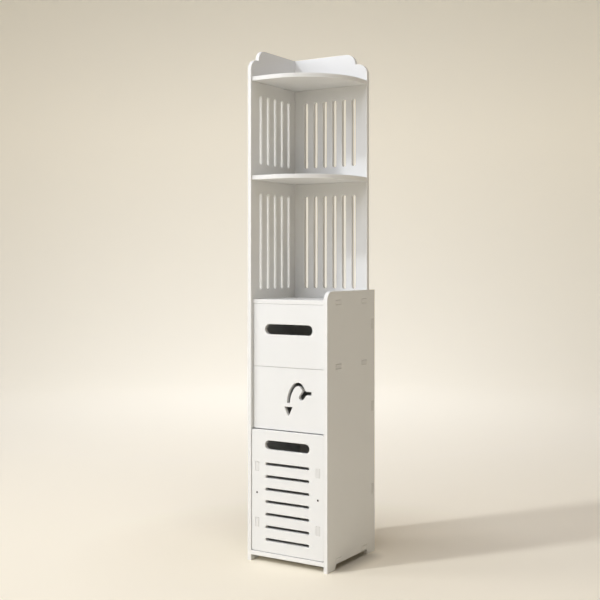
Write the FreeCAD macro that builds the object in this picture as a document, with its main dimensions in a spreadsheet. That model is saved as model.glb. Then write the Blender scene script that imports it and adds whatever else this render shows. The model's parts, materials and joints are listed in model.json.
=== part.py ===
import FreeCAD, Part
import os
from math import atan2, pi
from types import SimpleNamespace

import Sketcher
from FreeCAD import Placement, Rotation, Vector

# Lengths of the cabinet in millimetres
lengths = {
    # Carcass
    "cabinet_width": 217,
    "cabinet_depth": 226,
    "board": 10,
    "foot_length": 35,
    "arch_height": 12,
    "arch_cheek": 2,
    "arch_lean": 4,
    "arch_round": 6,
    "ear_round": 26,
    "ear_ledge": 6,
    "upper_back_inset": 23.4,
    "upper_back_end_inset": 2.8,
    "lower_back_inset": 6.3,
    "right_panel_rise": 20.7,
    "right_panel_round": 21,
    # Heights stacked from the floor to the top
    "bin_front_height": 282.6,
    "flap_height": 144.4,
    "tissue_bay_height": 135.9,
    "lower_bay_height": 279.9,
    "upper_bay_height": 222,
    "gallery_height": 67.3,
    # Level boards
    "counter_setback": 8,
    "shelf_setback": 4.4,
    "shelf_end_inset": 3.5,
    "shelf_end_straight": 36.6,
    # Slatted panels
    "slat_slot_width": 10.4,
    "lower_slot_foot": 22.3,
    "lower_slot_head": 30.2,
    "upper_slot_foot": 28.5,
    "upper_slot_head": 30.2,
    "side_slot_front_inset": 41.3,
    "side_slot_rear_inset": 28.5,
    "back_slot_left_inset": 32.6,
    "back_slot_right_inset": 37.1,
    # Tenons that join the boards
    "tenon_length": 24,
    "tenon_clearance": 0.4,
    "panel_tenon_clearance": 0.6,
    "front_tenon_inset": 50.5,
    "rear_tenon_inset": 53,
    "shelf_rear_tenon_inset": 44.6,
    "back_tenon_spread": 100,
    # Fronts
    "front_side_gap": 1,
    "front_seam": 0.8,
    "counter_seam": 0.5,
    "flap_gap": 2.1,
    "bin_front_gap": 1,
    "slide_gap": 0.3,
    # Tissue drawer
    "tissue_front_setback": 8,
    "tissue_front_gap": 0.5,
    "tissue_slot_length": 128.8,
    "tissue_slot_height": 24,
    "tissue_slot_drop": 58.7,
    "tissue_box_gap": 1.5,
    "tissue_rear_gap": 19.7,
    "tissue_headroom": 13.7,
    "dowel_diameter": 6,
    "dowel_length": 20,
    "dowel_in_front": 7,
    "dowel_end_gap": 0.5,
    "round_clearance": 0.05,
    # Drop flap
    "flap_setback": 8,
    "flap_pivot_drop": 12,
    "flap_pin_diameter": 5,
    "flap_pin_in_flap": 18,
    "flap_pin_in_panel": 6,
    "flap_pin_end_gap": 0.5,
    # Arrow sign cut through the flap
    "sign_tip_rise": 31,
    "sign_stroke": 8.4,
    "arrow_width": 22,
    "arrow_height": 24.4,
    "arrow_round": 2.6,
    "stem_rise": 32.7,
    "hook_span": 26,
    "hook_rise": 44.4,
    "hook_round": 16,
    "return_stroke": 6.3,
    "return_span": 17,
    "return_rise": 24,
    "return_round": 12,
    "bar_rise": 57.8,
    "bar_length": 18.6,
    "bar_thickness": 8.5,
    "bar_round": 1.5,
    "paddle_run": 8,
    "paddle_fall": 10,
    "paddle_round": 6.8,
    # Bin drawer
    "bin_front_setback": 1.8,
    "bin_front_round": 5.5,
    "pull_slot_inset": 37.25,
    "pull_slot_height": 21.6,
    "pull_slot_drop": 34,
    "louvre_inset": 38,
    "louvre_height": 7.2,
    "louvre_drop": 78.6,
    "louvre_rise": 29.05,
    "bin_rear_gap": 9.7,
    "bin_side_drop": 18.3,
    "bin_tenon_height": 20,
    "bin_tenon_inset": 67.5,
    "drawer_back_inset": 8,
    # Guide strips of the bin drawer
    "guide_clearance": 0.85,
    "guide_height": 30,
    "guide_front_gap": 2,
    "guide_rear_gap": 15.2,
    "guide_screw_inset": 25,
    # Countersunk screws
    "screw_head_diameter": 5,
    "screw_shank_diameter": 2.8,
    "screw_end_gap": 0.5,
    "front_screw_length": 28,
    "guide_screw_length": 16,
}

# How many slots stand side by side
counts = {
    "side_slots": 5,
    "back_slots": 6,
    "louvres": 7,
}

# Shares of the length that each one follows
upper_back_tenon_shares = (0.15, 0.5, 0.85)
lower_back_tenon_shares = (0.235, 0.575, 0.912)
drawer_tenon_shares = (0.25, 0.75)
drawer_tenon_half_share = 0.08
bin_screw_share = 0.515

doc = FreeCAD.newDocument("NarrowBathroomCabinet")
sheet = doc.addObject("Spreadsheet::Sheet", "sizes")
for row, (name, number) in enumerate({**lengths, **counts}.items(), start=1):
    sheet.set(f"A{row}", name)
    sheet.set(f"B{row}", str(number))
    sheet.setAlias(f"B{row}", name)
doc.recompute()


class Size:
    """A length of the sheet, or one worked out from such lengths, as a number and as a formula."""

    def __init__(self, value, formula):
        self.value = value
        self.formula = formula

    def __add__(self, other):
        other = as_size(other)
        return Size(self.value + other.value, f"({self.formula} + {other.formula})")

    def __sub__(self, other):
        other = as_size(other)
        return Size(self.value - other.value, f"({self.formula} - {other.formula})")

    def __mul__(self, other):
        other = as_size(other)
        return Size(self.value * other.value, f"({self.formula} * {other.formula})")

    def __truediv__(self, other):
        other = as_size(other)
        return Size(self.value / other.value, f"({self.formula} / {other.formula})")

    def __neg__(self):
        return Size(-self.value, f"(-1 * {self.formula})")

    def root(self):
        return Size(self.value ** 0.5, f"sqrt({self.formula})")


def as_size(term):
    return term if isinstance(term, Size) else Size(term, str(term))


s = SimpleNamespace(**{
    name: Size(number, f"sizes.{name}") for name, number in {**lengths, **counts}.items()
})
zero = Size(0, "0")

# Planes and clear spaces that several pieces share
half_width = s.cabinet_width / 2
front_plane = -s.cabinet_depth / 2
rear_plane = s.cabinet_depth / 2
inner_half = half_width - s.board
front_half = inner_half - s.front_side_gap
lower_back_front = rear_plane - s.lower_back_inset - s.board
upper_back_front = rear_plane - s.upper_back_inset - s.board
lower_back_depth = lower_back_front - front_plane
upper_back_depth = upper_back_front - front_plane
half_tenon = s.tenon_length / 2

# Heights above the floor, each stacked on the one before
bottom_height = s.arch_height + s.arch_cheek
bottom_top = bottom_height + s.board
bin_base = bottom_top + s.slide_gap
bin_front_base = bottom_top + s.bin_front_gap
bin_front_top = bin_front_base + s.bin_front_height
flap_bottom = bin_front_top + s.flap_gap
flap_top = flap_bottom + s.flap_height
divider_height = flap_top + s.front_seam
divider_top = divider_height + s.board
counter_height = divider_top + s.tissue_bay_height
counter_top = counter_height + s.board
right_panel_height = counter_top + s.right_panel_rise
mid_shelf_height = counter_top + s.lower_bay_height
top_shelf_height = mid_shelf_height + s.board + s.upper_bay_height
cabinet_height = top_shelf_height + s.board + s.gallery_height

sub_parts = []


# Sketches whose every point is held from the origin by a formula
def point(corner):
    return Vector(corner[0].value, corner[1].value, 0)


def hold(rules, kind, geometry, position, distance):
    rules.append((Sketcher.Constraint(kind, -1, 1, geometry, position, distance.value), distance.formula))


def apply_rules(sketch, rules):
    first = sketch.ConstraintCount
    sketch.addConstraint([rule for rule, formula in rules])
    for index, (rule, formula) in enumerate(rules, start=first):
        if formula:
            sketch.setExpression(f"Constraints[{index}]", formula)


def left_turn(x, y, centre_x, centre_y):
    return (x, y, centre_x, centre_y, 1)


def right_turn(x, y, centre_x, centre_y):
    return (x, y, centre_x, centre_y, -1)


def arc_between(start, finish, centre):
    first = atan2(start.y - centre.y, start.x - centre.x)
    last = atan2(finish.y - centre.y, finish.x - centre.x)
    if last <= first:
        last += 2 * pi
    return Part.ArcOfCircle(Part.Circle(centre, Vector(0, 0, 1), (start - centre).Length), first, last)


def draw_outline(sketch, corners):
    """Close an outline through the corners; a corner made by a turn starts an arc about its centre."""
    rules = []
    ends = []
    for corner, following in zip(corners, corners[1:] + corners[:1]):
        start = point(corner)
        finish = point(following)
        if len(corner) == 2:
            index = sketch.addGeometry(Part.LineSegment(start, finish))
            ends.append((index, 1, 2))
        else:
            centre_x, centre_y, turn = corner[2:]
            centre = point((centre_x, centre_y))
            first, last = (start, finish) if turn > 0 else (finish, start)
            index = sketch.addGeometry(arc_between(first, last, centre))
            ends.append((index, 1, 2) if turn > 0 else (index, 2, 1))
            chord = finish - start
            if abs(chord.y) >= abs(chord.x):
                hold(rules, "DistanceX", index, 3, centre_x)
            else:
                hold(rules, "DistanceY", index, 3, centre_y)
    for corner, (index, start_end, finish_end) in zip(corners, ends):
        hold(rules, "DistanceX", index, start_end, corner[0])
        hold(rules, "DistanceY", index, start_end, corner[1])
    for (index, start_end, finish_end), (after, after_start, after_finish) in zip(ends, ends[1:] + ends[:1]):
        rules.append((Sketcher.Constraint("Coincident", index, finish_end, after, after_start), None))
    apply_rules(sketch, rules)


def draw_circle(sketch, x, y, diameter):
    rules = []
    index = sketch.addGeometry(Part.Circle(point((x, y)), Vector(0, 0, 1), diameter.value / 2))
    hold(rules, "DistanceX", index, 3, x)
    hold(rules, "DistanceY", index, 3, y)
    rules.append((Sketcher.Constraint("Diameter", index, diameter.value), diameter.formula))
    apply_rules(sketch, rules)


def new_sketch(body, role, name, offset=zero):
    sketch = body.newObject("Sketcher::SketchObject", f"{body.Label}_{name}")
    plane = next(feature for feature in body.Origin.OriginFeatures if feature.Role == role)
    sketch.AttachmentSupport = [(plane, "")]
    sketch.MapMode = "FlatFace"
    sketch.setExpression("AttachmentOffset.Base.z", offset.formula)
    return sketch


# Boards and the cuts in them
def place(item, x=zero, y=zero, z=zero):
    for axis, distance in (("x", x), ("y", y), ("z", z)):
        item.setExpression(f"Placement.Base.{axis}", distance.formula)


def board(label, role, corners, thickness=s.board, midplane=False, **position):
    body = doc.addObject("PartDesign::Body", label)
    body.Label = label
    sketch = new_sketch(body, role, "outline")
    draw_outline(sketch, corners)
    pad = body.newObject("PartDesign::Pad", f"{label}_pad")
    pad.Profile = sketch
    pad.Midplane = midplane
    pad.setExpression("Length", thickness.formula)
    place(body, **position)
    doc.recompute()
    sub_parts.append(body)
    return body


def cut(body, role, name, shapes, depth=None, forward=True, offset=zero):
    """Cut outlines, or circles given as (x, y, diameter), right through or to a depth."""
    sketch = new_sketch(body, role, name, offset)
    for shape in shapes:
        if isinstance(shape, list):
            draw_outline(sketch, shape)
        else:
            draw_circle(sketch, *shape)
    pocket = body.newObject("PartDesign::Pocket", f"{body.Label}_{name}_cut")
    pocket.Profile = sketch
    pocket.Reversed = forward
    if depth is None:
        pocket.Type = "ThroughAll"
    else:
        pocket.Type = "Length"
        pocket.setExpression("Length", depth.formula)
    volume = body.Shape.Volume
    doc.recompute()
    if body.Shape.Volume >= volume:
        raise RuntimeError(f"{pocket.Name} cuts nothing")
    return pocket


def repeat(body, feature, axis, pitch, count, reverse=False):
    pattern = body.newObject("PartDesign::LinearPattern", f"{feature.Name}_row")
    pattern.Originals = [feature]
    pattern.Direction = (feature.Profile[0], [axis])
    pattern.Mode = "Spacing"
    pattern.Reversed = reverse
    pattern.setExpression("Offset", pitch.formula)
    pattern.setExpression("Occurrences", count.formula)
    body.Tip = pattern
    doc.recompute()


def countersink(body, role, name, centres, forward=False, offset=zero):
    sketch = new_sketch(body, role, name, offset)
    shank = s.screw_shank_diameter + s.round_clearance * 2
    for x, y in centres:
        draw_circle(sketch, x, y, shank)
    doc.recompute()
    hole = body.newObject("PartDesign::Hole", f"{body.Label}_{name}_hole")
    hole.Profile = sketch
    hole.ThreadType = "None"
    hole.DepthType = "ThroughAll"
    hole.HoleCutType = "Countersink"
    hole.HoleCutCustomValues = True
    hole.HoleCutCountersinkAngle = 90
    hole.Reversed = forward
    hole.setExpression("Diameter", shank.formula)
    hole.setExpression("HoleCutDiameter", (s.screw_head_diameter + s.round_clearance * 2).formula)
    volume = body.Shape.Volume
    doc.recompute()
    if body.Shape.Volume >= volume:
        raise RuntimeError(f"{hole.Name} cuts nothing")


# Outlines
def rectangle(left, low, right, high):
    return [(left, low), (right, low), (right, high), (left, high)]


def upright_slot(middle, low, high, width):
    radius = width / 2
    return [
        left_turn(middle - radius, low + radius, middle, low + radius),
        (middle + radius, low + radius),
        left_turn(middle + radius, high - radius, middle, high - radius),
        (middle - radius, high - radius),
    ]


def level_slot(left, right, middle, height):
    radius = height / 2
    return [
        (left + radius, middle - radius),
        left_turn(right - radius, middle - radius, right - radius, middle),
        (right - radius, middle + radius),
        left_turn(left + radius, middle + radius, left + radius, middle),
    ]


def rounded_rectangle(left, low, right, high, radius):
    return [
        (left + radius, low),
        left_turn(right - radius, low, right - radius, low + radius),
        (right, low + radius),
        left_turn(right, high - radius, right - radius, high - radius),
        (right - radius, high),
        left_turn(left + radius, high, left + radius, high - radius),
        (left, high - radius),
        left_turn(left, low + radius, left + radius, low + radius),
    ]


def tenons_up(edge, spans, reach):
    """Corners of the tenons on an edge at x, listed with rising y and standing out by the reach."""
    corners = []
    for low, high in spans:
        corners += [(edge, low), (edge + reach, low), (edge + reach, high), (edge, high)]
    return corners


def tenons_down(edge, spans, reach):
    return list(reversed(tenons_up(edge, spans, reach)))


def tenons_across(edge, spans, reach):
    """Corners of the tenons on an edge at y, listed with falling x."""
    return [(across, along) for along, across in tenons_down(edge, spans, reach)]


def spans_at(middles, half_length):
    return [(middle - half_length, middle + half_length) for middle in middles]


def spans_shared(low, high, shares, half_length):
    return spans_at([low + (high - low) * share for share in shares], half_length)


def mortise(left, low, right, high, gap=s.tenon_clearance):
    return rectangle(left - gap, low - gap, right + gap, high + gap)


def foot_arch():
    """The arch between the feet, in depth and height, from the front foot to the rear foot."""
    slope = (s.arch_lean * s.arch_lean + s.arch_height * s.arch_height).root()
    tangent = s.arch_round * s.arch_height / (slope + s.arch_lean)
    along = tangent * s.arch_lean / slope
    down = tangent * s.arch_height / slope
    front_corner = s.foot_length + s.arch_lean
    rear_corner = s.cabinet_depth - front_corner
    centre_height = s.arch_height - s.arch_round
    return [
        (s.foot_length, zero),
        right_turn(front_corner - along, s.arch_height - down, front_corner + tangent, centre_height),
        (front_corner + tangent, s.arch_height),
        right_turn(rear_corner - tangent, s.arch_height, rear_corner - tangent, centre_height),
        (rear_corner + along, s.arch_height - down),
        (s.cabinet_depth - s.foot_length, zero),
    ]


# Where the tenons sit along the boards that carry them, as depth from the front or as height
board_tenons = spans_at([s.front_tenon_inset, s.cabinet_depth - s.rear_tenon_inset], half_tenon)
shelf_tenons = spans_at([s.front_tenon_inset, upper_back_depth - s.shelf_rear_tenon_inset], half_tenon)
lower_back_tenons = spans_shared(bottom_height, counter_height, lower_back_tenon_shares, half_tenon)
upper_back_tenons = spans_shared(counter_top, cabinet_height, upper_back_tenon_shares, half_tenon)
back_board_tenons = spans_at([-s.back_tenon_spread / 2, s.back_tenon_spread / 2], half_tenon)


def from_front(spans):
    """Depths from the front plane turned into y."""
    return [(front_plane + low, front_plane + high) for low, high in spans]


# Places of the flap's pivot and of the guides' screws that the side panels follow
flap_middle_depth = s.flap_setback + s.board / 2
flap_pivot_height = flap_top - s.flap_pivot_drop
flap_bore = s.flap_pin_diameter + s.round_clearance * 2
guide_front_depth = s.bin_front_setback + s.board + s.guide_front_gap
guide_rear_depth = lower_back_depth - s.guide_rear_gap
guide_screw_depths = [guide_front_depth + s.guide_screw_inset, guide_rear_depth - s.guide_screw_inset]
guide_screw_height = bottom_top + s.guide_height / 2
pilot = s.screw_shank_diameter + s.round_clearance * 2


# Side panels, drawn in depth and height
def side_panel_mortises(level_boards):
    gap = s.panel_tenon_clearance
    shapes = []
    for height, spans in level_boards:
        shapes += [mortise(low, height, high, height + s.board, gap) for low, high in spans]
    back = lower_back_depth + s.board
    shapes += [mortise(lower_back_depth, low, back, high, gap) for low, high in lower_back_tenons]
    return shapes


def side_panel_seats(body, inner_face, forward):
    """Blind seats in the inner face for the flap's pivot pin and the guide strip's screws."""
    pivot = (flap_middle_depth, flap_pivot_height, flap_bore)
    cut(body, "YZ_Plane", "pivot", [pivot], s.flap_pin_in_panel + s.flap_pin_end_gap, forward, inner_face)
    pilots = [(depth, guide_screw_height, pilot) for depth in guide_screw_depths]
    pilot_depth = s.guide_screw_length - s.board + s.screw_end_gap
    cut(body, "YZ_Plane", "pilots", pilots, pilot_depth, forward, inner_face)


lower_level_boards = [
    (bottom_height, board_tenons),
    (divider_height, board_tenons),
    (counter_height, board_tenons),
]
shelf_level_boards = [(mid_shelf_height, shelf_tenons), (top_shelf_height, shelf_tenons)]
ear_foot = cabinet_height - s.ear_round * 2
ear_step = cabinet_height - s.ear_round
ear_reach = s.ear_round * 2 + s.ear_ledge

left_panel = board(
    "left_side_panel",
    "YZ_Plane",
    [(zero, zero)] + foot_arch() + [
        (s.cabinet_depth, zero),
        (s.cabinet_depth, cabinet_height),
        left_turn(ear_reach, cabinet_height, ear_reach, ear_step),
        (s.ear_round + s.ear_ledge, ear_step),
        left_turn(s.ear_round, ear_step, s.ear_round, ear_foot),
        (zero, ear_foot),
    ],
    x=-half_width,
    y=front_plane,
)
left_mortises = side_panel_mortises(lower_level_boards + shelf_level_boards)
left_mortises += [
    mortise(upper_back_depth, low, upper_back_depth + s.board, high, s.panel_tenon_clearance)
    for low, high in upper_back_tenons
]
cut(left_panel, "YZ_Plane", "mortises", left_mortises)
side_panel_seats(left_panel, s.board, False)
slot_rows = {
    "lower_slot": (counter_top + s.lower_slot_foot, mid_shelf_height - s.lower_slot_head),
    "upper_slot": (mid_shelf_height + s.board + s.upper_slot_foot, top_shelf_height - s.upper_slot_head),
}
side_slot_run = upper_back_depth - s.side_slot_rear_inset - s.side_slot_front_inset
for name, (low, high) in slot_rows.items():
    slot = upright_slot(s.side_slot_front_inset, low, high, s.slat_slot_width)
    feature = cut(left_panel, "YZ_Plane", name, [slot])
    repeat(left_panel, feature, "H_Axis", side_slot_run / (s.side_slots - 1), s.side_slots)

right_panel = board(
    "right_side_panel",
    "YZ_Plane",
    [(zero, zero)] + foot_arch() + [
        (s.cabinet_depth, zero),
        (s.cabinet_depth, right_panel_height),
        left_turn(
            s.right_panel_round,
            right_panel_height,
            s.right_panel_round,
            right_panel_height - s.right_panel_round,
        ),
        (zero, right_panel_height - s.right_panel_round),
    ],
    x=inner_half,
    y=front_plane,
)
cut(right_panel, "YZ_Plane", "mortises", side_panel_mortises(lower_level_boards))
side_panel_seats(right_panel, zero, True)


# Level boards, drawn in plan
def level_board(label, front, rear, height):
    tenons = from_front(board_tenons)
    corners = [(-inner_half, front), (inner_half, front)]
    corners += tenons_up(inner_half, tenons, s.board)
    corners += [(inner_half, rear), (-inner_half, rear)]
    corners += tenons_down(-inner_half, tenons, -s.board)
    return board(label, "XY_Plane", corners, z=height)


def corner_shelf(label, height):
    front = front_plane + s.shelf_setback
    end = half_width - s.shelf_end_inset
    round_end = upper_back_front - s.shelf_end_straight
    round_start = end - (round_end - front)
    corners = [
        (-inner_half, front),
        left_turn(round_start, front, round_start, round_end),
        (end, round_end),
        (end, upper_back_front),
    ]
    corners += tenons_across(upper_back_front, back_board_tenons, s.board)
    corners += [(-inner_half, upper_back_front)]
    corners += tenons_down(-inner_half, from_front(shelf_tenons), -s.board)
    return board(label, "XY_Plane", corners, z=height)


divider_front = front_plane + s.tissue_front_setback + s.board + s.tissue_front_gap
level_board("bottom_board", front_plane, lower_back_front, bottom_height)
level_board("divider_shelf", divider_front, lower_back_front, divider_height)
counter = level_board(
    "counter_board", front_plane + s.counter_setback, rear_plane - s.lower_back_inset, counter_height)
counter_mortises = [
    mortise(low, upper_back_front, high, upper_back_front + s.board) for low, high in back_board_tenons
]
cut(counter, "XY_Plane", "mortises", counter_mortises)
corner_shelf("mid_shelf", mid_shelf_height)
corner_shelf("top_shelf", top_shelf_height)

# Back panels, drawn in width and height
lower_back_corners = [(-inner_half, bottom_height), (inner_half, bottom_height)]
lower_back_corners += tenons_up(inner_half, lower_back_tenons, s.board)
lower_back_corners += [(inner_half, counter_height), (-inner_half, counter_height)]
lower_back_corners += tenons_down(-inner_half, lower_back_tenons, -s.board)
board("lower_back_panel", "XZ_Plane", lower_back_corners, y=lower_back_front + s.board)

back_end = half_width - s.upper_back_end_inset
upper_back_corners = [(-inner_half, counter_top)]
upper_back_corners += list(reversed(tenons_across(counter_top, back_board_tenons, -s.board)))
upper_back_corners += [
    (inner_half, counter_top),
    (inner_half, right_panel_height),
    (back_end, right_panel_height),
    left_turn(back_end, ear_foot, back_end - s.ear_round, ear_foot),
    (back_end - s.ear_round, ear_step),
    left_turn(back_end - s.ear_round - s.ear_ledge, ear_step, back_end - ear_reach, ear_step),
    (back_end - ear_reach, cabinet_height),
    (-inner_half, cabinet_height),
]
upper_back_corners += tenons_down(-inner_half, upper_back_tenons, -s.board)
upper_back = board("upper_back_panel", "XZ_Plane", upper_back_corners, y=upper_back_front + s.board)
shelf_mortises = []
for height in (mid_shelf_height, top_shelf_height):
    shelf_mortises += [mortise(low, height, high, height + s.board) for low, high in back_board_tenons]
cut(upper_back, "XZ_Plane", "mortises", shelf_mortises)
back_slot_run = back_end + inner_half - s.back_slot_right_inset - s.back_slot_left_inset
for name, (low, high) in slot_rows.items():
    slot = upright_slot(s.back_slot_left_inset - inner_half, low, high, s.slat_slot_width)
    feature = cut(upper_back, "XZ_Plane", name, [slot])
    repeat(upper_back, feature, "H_Axis", back_slot_run / (s.back_slots - 1), s.back_slots)


# Drawer boxes
def drawer_spans(low, high):
    return spans_shared(low, high, drawer_tenon_shares, (high - low) * drawer_tenon_half_share)


def drawer_box(prefix, half_box, front_depth, rear_depth, base, top, front_tenons):
    """Two sides, a back and a bottom behind a drawer front; the sides' tenons pass through the front."""
    back_depth = rear_depth - s.drawer_back_inset
    back_spans = drawer_spans(base, top)
    bottom_spans = drawer_spans(front_depth, back_depth - s.board)
    side_corners = rectangle(front_depth, base, rear_depth, top)
    side_corners += tenons_down(front_depth, front_tenons, -s.board)
    mortises = [mortise(back_depth - s.board, low, back_depth, high) for low, high in back_spans]
    mortises += [mortise(low, base, high, base + s.board) for low, high in bottom_spans]
    sides = []
    for hand, x in (("left", -half_box), ("right", half_box - s.board)):
        side = board(f"{prefix}_{hand}_side", "YZ_Plane", side_corners, x=x, y=front_plane)
        cut(side, "YZ_Plane", "mortises", mortises)
        sides.append(side)
    half_inside = half_box - s.board
    back_corners = [(-half_inside, base), (half_inside, base)]
    back_corners += tenons_up(half_inside, back_spans, s.board)
    back_corners += [(half_inside, top), (-half_inside, top)]
    back_corners += tenons_down(-half_inside, back_spans, -s.board)
    board(f"{prefix}_back", "XZ_Plane", back_corners, y=front_plane + back_depth)
    front = front_plane + front_depth
    rear = front_plane + back_depth - s.board
    tenons = from_front(bottom_spans)
    bottom_corners = [(-half_inside, front), (half_inside, front)]
    bottom_corners += tenons_up(half_inside, tenons, s.board)
    bottom_corners += [(half_inside, rear), (-half_inside, rear)]
    bottom_corners += tenons_down(-half_inside, tenons, -s.board)
    board(f"{prefix}_bottom", "XY_Plane", bottom_corners, z=base)
    return sides


def rod(name, diameter, length, axis, angle, x, y, z):
    cylinder = doc.addObject("Part::Cylinder", name)
    cylinder.Placement = Placement(Vector(0, 0, 0), Rotation(axis, angle))
    cylinder.setExpression("Radius", (diameter / 2).formula)
    cylinder.setExpression("Height", length.formula)
    place(cylinder, x, y, z)
    return cylinder


def group(label, pieces):
    compound = doc.addObject("Part::Compound", label)
    compound.Label = label
    compound.Links = pieces
    sub_parts.append(compound)


def screw(name, length, axis, angle, x, y, z):
    """A countersunk screw whose flat head lies at the given point."""
    head = doc.addObject("Part::Cone", f"{name}_head")
    head.Placement = Placement(Vector(0, 0, 0), Rotation(axis, angle))
    head.setExpression("Radius1", (s.screw_head_diameter / 2).formula)
    head.setExpression("Radius2", (s.screw_shank_diameter / 2).formula)
    head.setExpression("Height", ((s.screw_head_diameter - s.screw_shank_diameter) / 2).formula)
    place(head, x, y, z)
    shank = rod(f"{name}_shank", s.screw_shank_diameter, length, axis, angle, x, y, z)
    fused = doc.addObject("Part::Fuse", name)
    fused.Base = head
    fused.Tool = shank
    return fused


x_axis = Vector(1, 0, 0)
y_axis = Vector(0, 1, 0)

# Tissue drawer
tissue_front_depth = s.tissue_front_setback + s.board
tissue_half_box = inner_half - s.tissue_box_gap
tissue_base = divider_top + s.slide_gap
tissue_side_top = counter_height - s.tissue_headroom
tissue_front_top = counter_height - s.counter_seam
tissue_front = board(
    "tissue_drawer_front",
    "XZ_Plane",
    rectangle(-front_half, divider_height, front_half, tissue_front_top),
    y=front_plane + tissue_front_depth,
)
tissue_slot_middle = tissue_front_top - s.tissue_slot_drop
half_tissue_slot = s.tissue_slot_length / 2
tissue_slot = level_slot(-half_tissue_slot, half_tissue_slot, tissue_slot_middle, s.tissue_slot_height)
cut(tissue_front, "XZ_Plane", "slot", [tissue_slot])
dowel_heights = [tissue_base + (tissue_side_top - tissue_base) * share for share in drawer_tenon_shares]
dowel_bore = s.dowel_diameter + s.round_clearance * 2
dowel_half_spread = tissue_half_box - s.board / 2
dowel_places = [(x, z) for x in (-dowel_half_spread, dowel_half_spread) for z in dowel_heights]
front_bores = [(x, z, dowel_bore) for x, z in dowel_places]
cut(tissue_front, "XZ_Plane", "dowel_bores", front_bores, s.dowel_in_front + s.dowel_end_gap)
tissue_sides = drawer_box(
    "tissue_drawer",
    tissue_half_box,
    tissue_front_depth,
    lower_back_depth - s.tissue_rear_gap,
    tissue_base,
    tissue_side_top,
    [],
)
side_bores = [(s.board / 2, z, dowel_bore) for z in dowel_heights]
side_bore_depth = s.dowel_length - s.dowel_in_front + s.dowel_end_gap
for side in tissue_sides:
    cut(side, "XZ_Plane", "dowel_bores", side_bores, side_bore_depth, False, -tissue_front_depth)
dowel_front = front_plane + tissue_front_depth - s.dowel_in_front
group("tissue_front_dowels", [
    rod(f"dowel_{index}", s.dowel_diameter, s.dowel_length, x_axis, -90, x, dowel_front, z)
    for index, (x, z) in enumerate(dowel_places, start=1)
])

# Drop flap, whose rear top edge is round so that it clears the divider as it swings
flap = board(
    "drop_flap",
    "YZ_Plane",
    [
        (zero, flap_bottom),
        (s.board, flap_bottom),
        left_turn(s.board, flap_top - s.board / 2, s.board / 2, flap_top - s.board / 2),
        (s.board / 2, flap_top),
        (zero, flap_top),
    ],
    front_half * 2,
    True,
    y=front_plane + s.flap_setback,
)
pivot_bore = [(s.board / 2, flap_pivot_height, flap_bore)]
bore_depth = s.flap_pin_in_flap + s.flap_pin_end_gap
cut(flap, "YZ_Plane", "right_bore", pivot_bore, bore_depth, False, front_half)
cut(flap, "YZ_Plane", "left_bore", pivot_bore, bore_depth, True, -front_half)
pin_length = s.flap_pin_in_panel + s.front_side_gap + s.flap_pin_in_flap
flap_pivot_y = front_plane + flap_middle_depth
for label, x in (
    ("flap_left_pin", -inner_half - s.flap_pin_in_panel),
    ("flap_right_pin", front_half - s.flap_pin_in_flap),
):
    pin = rod(label, s.flap_pin_diameter, pin_length, y_axis, 90, x, flap_pivot_y, flap_pivot_height)
    pin.Label = label
    sub_parts.append(pin)


# Arrow sign: an arrowhead below a hook that ends in a bar with a paddle
def quarter_oval(span, rise, round_top):
    """Side radius of a quarter oval, and where its two arcs meet, as shares of the top radius."""
    side = (span * span + rise * rise - rise * round_top * 2) / ((span - round_top) * 2)
    meet_x = (span - side) / (side - round_top)
    meet_y = (rise - round_top) / (side - round_top)
    return side, meet_x, meet_y


def hook_side(base_x, base_y, hand, span, rise, round_top):
    """Start, meeting and top points of one side of the hook, and the centres of its two arcs."""
    side, meet_x, meet_y = quarter_oval(span, rise, round_top)
    side_centre = (base_x + (side - span) * hand, base_y)
    top_centre = (base_x, base_y + rise - round_top)
    start = (base_x - span * hand, base_y)
    meeting = (top_centre[0] + meet_x * round_top * hand, top_centre[1] + meet_y * round_top)
    top = (base_x, base_y + rise)
    return start, meeting, top, side_centre, top_centre


def hook_edge(base_x, base_y, half, return_half):
    """Both sides of the hook, moved outwards from its middle line by half its stroke."""
    return_base = base_y + s.hook_rise - s.return_rise
    left = hook_side(base_x, base_y, 1, s.hook_span + half, s.hook_rise + half, s.hook_round + half)
    right = hook_side(
        base_x, return_base, -1, s.return_span + return_half, s.return_rise + half, s.return_round + half)
    return left, right


def hook_outline(base_x, base_y):
    """The hook's stroke, which narrows as it comes down to the bar."""
    half = s.sign_stroke / 2
    return_half = s.return_stroke / 2
    left, right = hook_edge(base_x, base_y, half, return_half)
    corners = [
        right_turn(*left[0], *left[3]),
        right_turn(*left[1], *left[4]),
        right_turn(*left[2], *right[4]),
        right_turn(*right[1], *right[3]),
        right[0],
    ]
    left, right = hook_edge(base_x, base_y, -half, -return_half)
    corners += [
        left_turn(*right[0], *right[3]),
        left_turn(*right[1], *right[4]),
        left_turn(*right[2], *left[4]),
        left_turn(*left[1], *left[3]),
        left[0],
    ]
    return corners


def arrow_outline(x, y):
    """A triangle that points down to (x, y), with a round tip."""
    half = s.arrow_width / 2
    side = (half * half + s.arrow_height * s.arrow_height).root()
    tangent = s.arrow_round * s.arrow_height / half
    across = tangent * half / side
    up = tangent * s.arrow_height / side
    return [
        left_turn(x - across, y + up, x, y + s.arrow_round * side / half),
        (x + across, y + up),
        (x + half, y + s.arrow_height),
        (x - half, y + s.arrow_height),
    ]


def paddle_outline(x, y):
    """A round-ended bar that leans down to the left from (x, y)."""
    slope = (s.paddle_run * s.paddle_run + s.paddle_fall * s.paddle_fall).root()
    across = s.paddle_fall * s.paddle_round / slope
    up = s.paddle_run * s.paddle_round / slope
    low_x = x - s.paddle_run
    low_y = y - s.paddle_fall
    return [
        left_turn(low_x - across, low_y + up, low_x, low_y),
        (low_x + across, low_y - up),
        left_turn(x + across, y - up, x, y),
        (x - across, y + up),
    ]


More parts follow.
